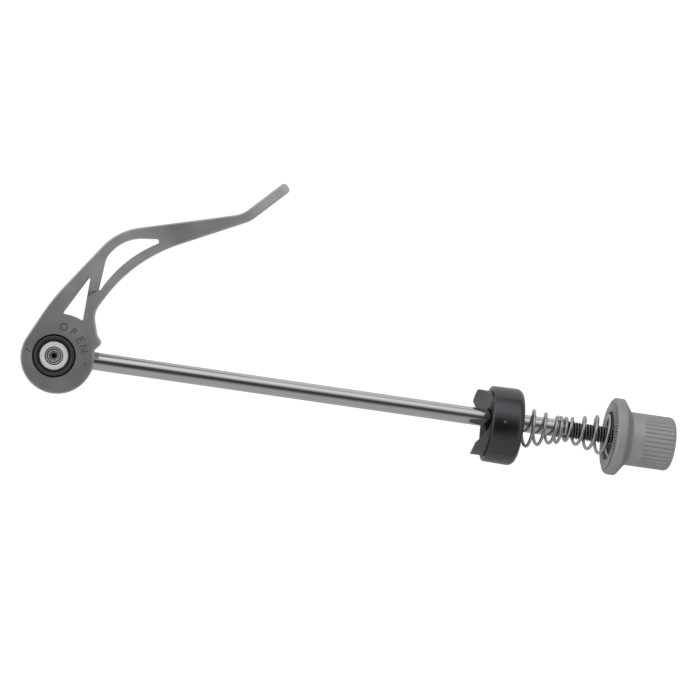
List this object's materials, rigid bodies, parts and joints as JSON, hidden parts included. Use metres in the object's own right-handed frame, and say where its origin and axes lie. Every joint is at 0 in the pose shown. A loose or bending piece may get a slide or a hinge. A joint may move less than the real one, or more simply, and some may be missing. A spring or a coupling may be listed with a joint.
{
  "type": "quick release skewer",
  "caption": "Bicycle wheel skewer with a swinging cam lever, a steel rod, a sliding saddle and cup, conical springs and a screw-on nut; clamps a wheel's axle into a frame.",
  "frame": {"origin": "where the lever's pivot axis crosses the rod's axis", "axes": "+X along the rod from the lever to the nut; +Z along the pivot axis, up as it lies on its side; +Y to the side that the lever's arm points to"},
  "size_m": [0.1855, 0.0691, 0.022],
  "materials": {
    "cast_grey": "satin grey coat",
    "bush_black": "matte",
    "barrel_steel": "turned",
    "screw_steel": "satin",
    "rod_steel": "bright drawn",
    "saddle_grey": "satin dark grey coat",
    "cup_black": "black satin coat",
    "spring_steel": "drawn wire",
    "nut_grey": "satin grey coat"
  },
  "bodies": {
    "rod": {"rod": "rod_steel", "pivot_barrel": "barrel_steel", "barrel_screw": "screw_steel"},
    "lever": {"lever": "cast_grey", "upper_bush": "bush_black", "lower_bush": "bush_black"},
    "inner_spring": {"inner_spring": "spring_steel"},
    "cup": {"cup": "cup_black"},
    "saddle": {"saddle": "saddle_grey"},
    "outer_spring": {"outer_spring": "spring_steel"},
    "nut": {"nut": "nut_grey"}
  },
  "joints": [
    {"name": "lever_swing", "type": "hinge", "parent": "rod", "child": "lever", "pos_m": [0, 0, 0], "axis": [0, 0, 1], "range_deg": [0, 195]},
    {"name": "cup_slide", "type": "slide", "parent": "rod", "child": "inner_spring", "axis": [1, 0, 0], "range_m": [-0.1062, 0]},
    {"name": "cup_press", "type": "slide", "parent": "inner_spring", "child": "cup", "axis": [1, 0, 0], "range_m": [0, 0.008], "stiffness_N_per_m": 250, "deforming": ["inner_spring"]},
    {"name": "saddle_swivel", "type": "hinge", "parent": "cup", "child": "saddle", "pos_m": [0.123, -0.0015, 0], "axis": [1, 0, 0], "continuous": true},
    {"name": "nut_travel", "type": "slide", "parent": "rod", "child": "outer_spring", "axis": [1, 0, 0], "range_m": [-0.0088, 0.0032], "deforming": ["outer_spring"]},
    {"name": "nut_spin", "type": "hinge", "parent": "outer_spring", "child": "nut", "pos_m": [0.165, 0, 0], "axis": [-1, 0, 0], "range_deg": [-1440, 3960]}
  ],
  "couplings": [
    {"joint": "nut_travel", "follows": "nut_spin", "m_per_rad": -0.00012732}
  ]
}
